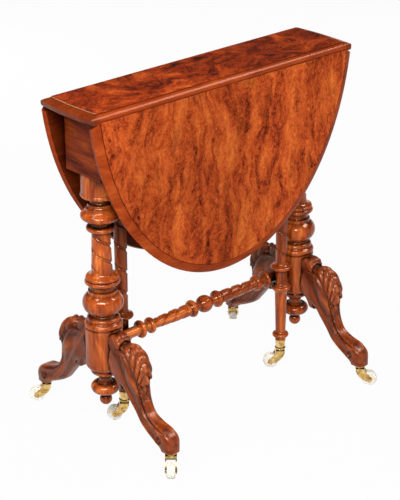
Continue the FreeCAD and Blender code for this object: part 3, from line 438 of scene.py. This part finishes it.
def make_materials():
    rim = {"colours": RIM_WALNUT, "along": 0, "roughness": RIM_ROUGHNESS, "shine": RIM_SHINE}
    turned = {"roughness": TURNED_ROUGHNESS, "shine": TURNED_SHINE, "shade": 0.04, "groove_shade": 0.3}
    return {
        "flap_burr": burr_veneer("flap_burr", FLAP_BURR, (34, 34, 7.5), bend=0.08),
        "top_burr": burr_veneer("top_burr", TOP_BURR, (16, 24, 20), bend=0.10),
        "top_rim": polished_wood(
            "top_rim_walnut", RIM_WALNUT, 0, roughness=0.13, shine=0.1, shade=0.3, ends=END_GRAIN_START),
        # The inner faces of the flaps get painted shade
        "front_rim": polished_wood("front_rim_walnut", **rim, under=(0, 1, 0)),
        "rear_rim": polished_wood("rear_rim_walnut", **rim, under=(0, -1, 0)),
        "end_rail": polished_wood("end_rail_walnut", FRIEZE_WALNUT, 1, roughness=0.34, shine=0.05, shade=0.2),
        "turned": polished_wood("turned_walnut", WALNUT, 2, **turned),
        # Painted shade: darker copy of the turned walnut for the rear gate leg
        "painted_shade": polished_wood("painted_shade_walnut", PAINTED_SHADE_WALNUT, 2, **turned),
        "turned_long": polished_wood("turned_walnut_long", WALNUT, 0, **turned),
        "carved": polished_wood(
            "carved_walnut", DARK_WALNUT, 2, roughness=CARVED_ROUGHNESS, shine=TURNED_SHINE, shade=0.05,
            turn=(LEG_FIBRE_TILT, 0, 0), groove_shade=0.28),
        # Painted shadow in the quirks of the flaps
        "quirk": polished_wood("painted_quirk_shadow", QUIRK_SHADOW, 0, roughness=0.5, shine=0.0),
        # Painted highlight on the fillets at the ends of the top
        "fillet": polished_wood("painted_fillet_highlight", FILLET_HIGHLIGHT, 1, roughness=0.2, shine=0.1),
        "carcase": planed_wood(),
        "brass": metal("brass", BRASS, 0.14, 0.26),
        "iron": metal("iron", IRON, 0.42, 0.6),
        "porcelain": porcelain(),
    }


def material_of(node):
    """Key of the material that a node of the construction shows."""
    if node == "centre_top_veneer":
        return "top_burr"
    if node.endswith("veneer"):
        return "flap_burr"
    if node == "centre_top":
        return "top_rim"
    if node.endswith("_flap"):
        return node.split("_")[0] + "_rim"
    if node.endswith("end_rail"):
        return "end_rail"
    if node == "stretcher" or node.endswith("fly_rail"):
        return "turned_long"
    # The rear gate leg wears the copy of the turned walnut with painted shade
    if node == "rear_gate_leg":
        return "painted_shade"
    if node.endswith(("_column", "_pendant", "gate_leg")):
        return "turned"
    if node.endswith("_leg"):
        return "carved"
    if node.endswith("_wheel"):
        return "porcelain"
    if "caster" in node or node.endswith("_leaves"):
        return "brass"
    if node.endswith(("_screws", "_pins")):
        return "iron"
    return "carcase"


def dress_frame(materials):
    for name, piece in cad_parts.items():
        piece.data.materials.clear()
        piece.data.materials.append(materials[material_of(name)])


# Meshes and pieces

def smooth_step(low, high, value):
    t = np.clip((value - low) / (high - low), 0, 1)
    return t * t * (3 - 2 * t)


def window(rise, fall, value):
    """1 between two limits, with a soft rise and a soft fall, and 0 outside them."""
    return smooth_step(*rise, value) * (1 - smooth_step(*fall, value))


def ridge(value, width):
    """Bell curve of height 1 around 0."""
    return np.exp(-(value / width) ** 2)


def spline(stations, rows):
    """Smooth curve through evenly numbered stations, sampled at so many rows."""
    known = np.array(stations, float)
    padded = np.concatenate([2 * known[:1] - known[1:2], known, 2 * known[-1:] - known[-2:-1]])
    at = np.linspace(0, len(known) - 1, rows)
    first = np.minimum(at.astype(int), len(known) - 2)
    t = (at - first).reshape((-1,) + (1,) * (known.ndim - 1))
    a, b, c, d = (padded[first + step] for step in range(4))
    return b + 0.5 * t * (c - a + t * (2 * a - 5 * b + 4 * c - d + t * (3 * (b - c) + d - a)))


def side_faces(rows, columns, flip=False):
    """Faces between rows of points, each row a closed ring."""
    faces = []
    for row in range(rows - 1):
        low = row * columns
        high = low + columns
        for column in range(columns):
            after = (column + 1) % columns
            face = (low + column, high + column, high + after, low + after)
            faces.append(face[:1] + face[:0:-1] if flip else face)
    return faces


def tube_faces(rows, columns, flip=False):
    """Faces between rows of points and over the first and the last row."""
    first = tuple(range(columns))
    last = tuple(range((rows - 1) * columns, rows * columns))
    caps = [first[::-1], last] if flip else [first, last[::-1]]
    return side_faces(rows, columns, flip) + caps


def make_mesh(name, spots, faces, material):
    mesh = bpy.data.meshes.new(name)
    mesh.from_pydata(spots, [], faces)
    mesh.validate()
    mesh.materials.append(material)
    mesh.polygons.foreach_set("use_smooth", [True] * len(mesh.polygons))
    return mesh


def show(name, mesh, body, place=(0, 0, 0), turn=0.0):
    """A piece at a place, turned about the vertical, that rides on a body."""
    piece = bpy.data.objects.new(name, mesh)
    piece.location = place
    piece.rotation_euler = (0, 0, turn)
    bpy.context.scene.collection.objects.link(piece)
    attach(piece, body)
    return piece


# Carved legs

def leg_places(shares):
    """Y and Z in the leg's own side view of rows of out and up."""
    plate_low, plate_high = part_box("rear_right_caster_plate")
    reach = (plate_low.y + plate_high.y) / 2
    foot = plate_high.z
    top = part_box("rear_right_leg")[1].z
    shares = np.array(shares)
    out = DRUM_RADIUS + shares[..., 0] * (reach - DRUM_RADIUS)
    return np.stack([out, foot + shares[..., 1] * (top - foot)], axis=-1)


def leg_relief(station, turn, yz):
    """Height of the carving over the plain section. Station runs from 0 at the drum to 11 at the toe, turn from
    0 on the middle of the back over 1 on the flank to 2 on the belly. A bead comes slanting down from the drum
    to the flank and parts the rounded bands, a lobed leaf covers the knee above it, a sunk scaly ground follows
    the leaf, a scroll swells on the belly at the root, and a scroll eye ends the bands on the foot."""
    middle = 0.56 + 0.44 * smooth_step(0.0, 3.4, station) - 0.22 * smooth_step(3.4, 6.5, station)
    spread = 0.17 + 0.07 * smooth_step(3.4, 6.0, station)
    beside = turn - middle
    depth = GROOVE_DEPTH - GROOVE_DEPTH_LOST * smooth_step(3.6, 6.5, station)
    grooves = ridge(beside + spread, GROOVE_WIDTH) + ridge(beside - spread, GROOVE_WIDTH)
    on_shaft = window((0.1, 0.8), (8.7, 9.4), station)
    relief = on_shaft * (BEAD_HEIGHT * ridge(beside, BEAD_WIDTH) - depth * grooves)
    aside = spread + BAND_DISTANCE
    bands = ridge(beside - aside, BAND_WIDTH) + ridge(beside + aside, BAND_WIDTH)
    relief += BAND_HEIGHT * window((2.6, 4.0), (8.9, 9.6), station) * bands

    edge = np.where(station < 3.6, middle - 0.17, middle - 0.17 - 0.66 * smooth_step(3.6, 5.9, station))
    fingers = abs(np.sin(math.pi * (1.15 * station - 1.5 * turn)))
    leaf = smooth_step(0.0, 0.07, edge + 0.05 * fingers - turn) * window((0.7, 1.2), (5.7, 6.0), station)
    relief += leaf * (LEAF_HEIGHT * fingers ** 0.7 - LEAF_BED - LEAF_RIB_DEPTH * ridge(turn, LEAF_RIB_WIDTH))
    ground = window((3.4, 3.8), (6.1, 6.5), station) * (1 - leaf)
    ground = ground * smooth_step(0.05, 0.12, middle - 0.26 - turn)
    scales = np.sin(2 * math.pi * 3.2 * station) * np.sin(2 * math.pi * 5.0 * turn)
    relief += ground * (SCALE_HEIGHT * scales - GROUND_DEPTH)

    relief += ROOT_SCROLL_HEIGHT * ridge(station - 1.25, 0.95) * ridge(turn - 1.45, 0.22)
    away = np.linalg.norm(yz - leg_places(LEG_EYE), axis=-1)
    on_flank = window((0.6, 0.8), (1.45, 1.6), turn)
    for radius, width, height in (EYE_RIM, EYE_GROOVE):
        relief += on_flank * height * ridge(away - radius, width)
    return relief


def carved_scroll():
    """Vertices and faces of the S of one leg, standing behind its column at the origin."""
    back = leg_places(spline(LEG_BACK, LEG_ROWS))
    belly = leg_places(spline(LEG_BELLY, LEG_ROWS))
    half_width = spline(LEG_HALF_WIDTHS, LEG_ROWS)
    angle = np.linspace(0, 2 * math.pi, LEG_COLUMNS, endpoint=False)
    side = np.sign(np.cos(angle)) * abs(np.cos(angle)) ** (2 / LEG_SQUARENESS)
    rise = np.sign(np.sin(angle)) * abs(np.sin(angle)) ** (2 / LEG_SQUARENESS)
    centre = (back + belly) / 2
    tall = (back - belly) / 2
    yz = centre[:, None] + tall[:, None] * rise[None, :, None]
    spots = np.concatenate([(half_width[:, None] * side)[..., None], yz], axis=-1)
    down = np.gradient(spots, axis=0)
    around = np.roll(spots, -1, axis=1) - np.roll(spots, 1, axis=1)
    normal = np.cross(down, around)
    normal /= np.linalg.norm(normal, axis=-1, keepdims=True) + 1e-12
    outward = np.sign(np.sum(normal * (spots - spots.mean(axis=1, keepdims=True)), axis=-1, keepdims=True))
    station = np.linspace(0, len(LEG_BACK) - 1, LEG_ROWS)[:, None]
    turn = abs((angle - math.pi / 2 + math.pi) % (2 * math.pi) - math.pi) / (math.pi / 2)
    relief = leg_relief(station, turn[None], yz)
    spots = spots + normal * outward * relief[..., None]
    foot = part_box("rear_right_caster_plate")[1].z
    spots[..., 2] = np.maximum(spots[..., 2], foot)
    return spots.reshape(-1, 3).tolist(), tube_faces(LEG_ROWS, LEG_COLUMNS)


def root_block():
    """Vertices and faces of the block between the scroll and the drum, with leaf lobes over its shoulder."""
    shoulder = spline(LEG_SHOULDER, SHOULDER_ROWS)
    outline = leg_places(np.concatenate([shoulder, spline(LEG_SCROLL, ROOT_SCROLL_ROWS)]))
    run = np.roll(outline, -1, axis=0) - np.roll(outline, 1, axis=0)
    normal = np.stack([-run[:, 1], run[:, 0]], axis=-1)
    normal /= np.linalg.norm(normal, axis=-1, keepdims=True)
    over = np.arange(len(outline)) / SHOULDER_ROWS
    spots = []
    for side in np.linspace(-1, 1, ROOT_COLUMNS):
        edge = min(max(1 - (1 - abs(side)) * ROOT_HALF_WIDTH / ROOT_EDGE, 0), 1)
        lobes = abs(np.cos(math.pi * (ROOT_LOBES * over - ROOT_LOBE_SLANT * abs(side))))
        height = -ROOT_EDGE * (1 - math.sqrt(1 - edge ** 2)) - ROOT_RIB_DEPTH * ridge(side, ROOT_RIB_WIDTH)
        height = height - ROOT_LOBE_DEPTH * (1 - lobes) * (over < 1)
        places = outline + normal * height[:, None]
        spots += [(side * ROOT_HALF_WIDTH, y, z) for y, z in places]
    return spots, tube_faces(ROOT_COLUMNS, len(outline))


def make_legs(material):
    scroll = make_mesh("leg_scroll", *carved_scroll(), material)
    root = make_mesh("leg_root", *root_block(), material)
    for end in ("left", "right"):
        for face, turn in (("front", math.pi), ("rear", 0.0)):
            node = face + "_" + end + "_leg"
            low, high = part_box(node)
            place = ((low.x + high.x) / 2, 0, 0)
            for kind, mesh in (("scroll", scroll), ("root", root)):
                piece = show(node + "_" + kind, mesh, "frame", place, turn)
                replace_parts(piece, node)


# Turned stretcher

def stretcher_rows():
    """Distance from the middle and radius of each row of one half, closer at corners and on the shaft."""
    rows = [STRETCHER_PROFILE[0][:2]]
    for before, entry in zip(STRETCHER_PROFILE, STRETCHER_PROFILE[1:]):
        start, end = np.array(before[:2]), np.array(entry[:2])
        chord = end - start
        length = np.linalg.norm(chord)
        out = np.array([-chord[1], chord[0]]) / length
        bulge = entry[2] if len(entry) > 2 else 0.0
        count = SHAFT_ROWS if before[0] == TWIST_SPAN[0] else TURNING_ROWS
        for share in [0.03, *np.linspace(0.06, 0.94, count), 0.97, 1.0]:
            place = start + share * chord
            if bulge:
                half = 2 * math.atan(2 * abs(bulge) / length)
                angle = half * (2 * share - 1)
                along = (math.sin(angle) / math.sin(half) + 1) / 2
                rise = (math.cos(angle) - math.cos(half)) / (1 - math.cos(half))
                place = start + along * chord + bulge * rise * out
            rows.append(tuple(place))
    return rows


def twisted_stretcher():
    """Vertices and faces of the stretcher: rings and ball, twist shafts, ends coped to the columns' drums."""
    half = stretcher_rows()
    rows = np.array([(-x, radius) for x, radius in half[:0:-1]] + half)
    angle = np.linspace(0, 2 * math.pi, TURNING_COLUMNS, endpoint=False)
    along = np.repeat(rows[:, :1], TURNING_COLUMNS, axis=1)
    start, end = TWIST_SPAN
    on_shaft = window((start, start + TWIST_FADE), (end - TWIST_FADE, end), abs(along))
    phase = TWIST_STARTS * (angle[None] / (2 * math.pi) + along / TWIST_LEAD)
    beside = ((phase + 0.5) % 1 - 0.5) * TWIST_LEAD / TWIST_STARTS
    beside *= math.cos(math.atan(TWIST_LEAD / (2 * math.pi * rows[:, 1].mean())))
    radius = rows[:, 1:] - TWIST_DEPTH * on_shaft * ridge(beside, TWIST_WIDTH)
    y, z = radius * np.cos(angle), radius * np.sin(angle)
    low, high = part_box("right_column")
    cope = (low.x + high.x) / 2 - np.sqrt(DRUM_RADIUS ** 2 - y[-1] ** 2)
    along[0], along[-1] = -cope, cope
    low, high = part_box("stretcher")
    spots = np.stack([along, y, z + (low.z + high.z) / 2], axis=-1)
    return spots.reshape(-1, 3).tolist(), tube_faces(len(rows), TURNING_COLUMNS, flip=True)


def make_stretcher(material):
    mesh = make_mesh("stretcher_turning", *twisted_stretcher(), material)
    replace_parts(show("stretcher_turning", mesh, "frame"), "stretcher")


# Beads of painted shadow in the quirks and of painted highlight on the fillets between the veneer and the
# moulded rim

def bead(path, radius):
    """Vertices and faces of a round bead along a path of points."""
    along = np.gradient(path, axis=0)
    along /= np.linalg.norm(along, axis=1, keepdims=True)
    across = np.cross(along, np.cross(along[0], along[len(along) // 2]))
    across /= np.linalg.norm(across, axis=1, keepdims=True)
    up = np.cross(along, across)
    spots = []
    for index in range(QUIRK_SIDES):
        angle = 2 * math.pi * index / QUIRK_SIDES
        spots.append(path + radius * (across * math.cos(angle) + up * math.sin(angle)))
    spots = np.stack(spots, axis=1).reshape(-1, 3)
    return spots.tolist(), tube_faces(len(path), QUIRK_SIDES)


def make_quirks(materials):
    """Beads on the oval outline of the veneers: painted shadow in the quirks of the two flaps and painted
    highlight on the fillets at the two ends of the top.
    """
    top_low, top_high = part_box("centre_top_veneer")
    flap_low, flap_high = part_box("rear_flap_veneer")
    long_half = top_high.x
    deep_half = HINGE_Y + HINGE_Z - flap_low.z
    start = math.asin((HINGE_Y + HINGE_Z - flap_high.z + QUIRK_END_GAP) / deep_half)
    turn = np.linspace(start, math.pi - start, QUIRK_STEPS)
    drop = HINGE_Z + HINGE_Y - deep_half * np.sin(turn)
    for face, way in (("front", -1), ("rear", 1)):
        depth = way * (flap_low.y + QUIRK_RADIUS * QUIRK_RISE)
        path = np.stack([way * long_half * np.cos(turn), np.full_like(turn, depth), drop], axis=-1)
        # Painted shadow: a dark bead along the quirk
        mesh = make_mesh(face + "_flap_quirk_shadow", *bead(path, QUIRK_RADIUS), materials["quirk"])
        show(face + "_flap_quirk_shadow", mesh, face + "_flap")
    start = math.asin((HINGE_Y - QUIRK_END_GAP) / deep_half)
    turn = np.linspace(-start, start, FILLET_STEPS)
    level = np.full_like(turn, top_low.z + QUIRK_RADIUS * FILLET_RISE)
    for end, way in (("left", -1), ("right", 1)):
        path = np.stack([way * long_half * np.cos(turn), way * deep_half * np.sin(turn), level], axis=-1)
        # Painted highlight: a light bead along the fillet
        mesh = make_mesh(end + "_top_fillet_highlight", *bead(path, QUIRK_RADIUS), materials["fillet"])
        show(end + "_top_fillet_highlight", mesh, "frame")


# Stage

def aim(item, target, roll=0.0):
    """Turns a camera or lamp to a target."""
    direction = Vector(target) - item.location
    item.rotation_euler = direction.to_track_quat("-Z", "Y").to_euler()
    item.rotation_euler.rotate_axis("Z", roll)


def make_camera():
    data = bpy.data.cameras.new("camera")
    data.lens = CAMERA_LENS
    data.shift_x, data.shift_y = CAMERA_SHIFT
    camera = bpy.data.objects.new("camera", data)
    camera.location = CAMERA_PLACE
    bpy.context.scene.collection.objects.link(camera)
    aim(camera, CAMERA_TARGET, CAMERA_ROLL)
    bpy.context.scene.camera = camera


def make_lamps():
    for name, place, target, size, power, shows in LAMPS:
        data = bpy.data.lights.new(name, "AREA")
        data.shape = "RECTANGLE"
        data.size, data.size_y = size
        data.energy = power
        lamp = bpy.data.objects.new(name, data)
        lamp.location = place
        lamp.visible_diffuse = shows != "reflections"
        lamp.visible_glossy = shows != "light"
        bpy.context.scene.collection.objects.link(lamp)
        aim(lamp, target)


def paper():
    """White paper, plain white to the camera and in reflections, with a trace of the object's shadow."""
    material, tree, shader = new_material("paper_floor")
    fibre = noise(tree, stretched(tree, (30, 30, 30)), 4.0, 0.6)
    assign(tree, shader, {
        "Base Color": ramp(tree, fibre, PAPER, 0.4, 0.6),
        "Roughness": 0.9,
        "Specular IOR Level": 0.1,
    })
    rays = add(tree, "LightPath").outputs
    seen = math_node(tree, "MAXIMUM", rays["Is Camera Ray"], rays["Is Glossy Ray"])
    seen = math_node(tree, "MAXIMUM", seen, rays["Is Transmission Ray"])
    glow = add(tree, "Emission", {"Color": (1, 1, 1, 1), "Strength": 1.0}).outputs[0]
    share = math_node(tree, "MULTIPLY", seen, FLOOR_WHITE)
    mixed = add(tree, "MixShader", {0: share, 1: shader.outputs[0], 2: glow}).outputs[0]
    tree.links.new(mixed, tree.nodes["Material Output"].inputs["Surface"])
    return material


def make_floor():
    """Round paper floor that turns up into a low wall."""
    turn = np.linspace(0, 2 * math.pi, FLOOR_SIDES, endpoint=False)
    outline = np.stack([np.cos(turn), np.sin(turn)], axis=-1)
    spots = []
    for radius, height in FLOOR_RINGS:
        spots += [(radius * x, radius * y, height) for x, y in outline]
    faces = [tuple(range(FLOOR_SIDES))] + side_faces(len(FLOOR_RINGS), FLOOR_SIDES, flip=True)
    mesh = bpy.data.meshes.new("floor")
    mesh.from_pydata(spots, [], faces)
    mesh.materials.append(paper())
    floor = bpy.data.objects.new("floor", mesh)
    bpy.context.scene.collection.objects.link(floor)


def make_world():
    world = bpy.data.worlds.new("studio")
    bpy.context.scene.world = world
    world.use_nodes = True
    background = world.node_tree.nodes["Background"]
    background.inputs["Color"].default_value = (1, 1, 1, 1)
    background.inputs["Strength"].default_value = WORLD_STRENGTH


def main():
    materials = make_materials()
    dress_frame(materials)
    make_legs(materials["carved"])
    make_stretcher(materials["turned_long"])
    make_quirks(materials)
    make_camera()
    make_lamps()
    make_floor()
    make_world()
    bpy.context.scene.view_settings.view_transform = "Standard"


main()
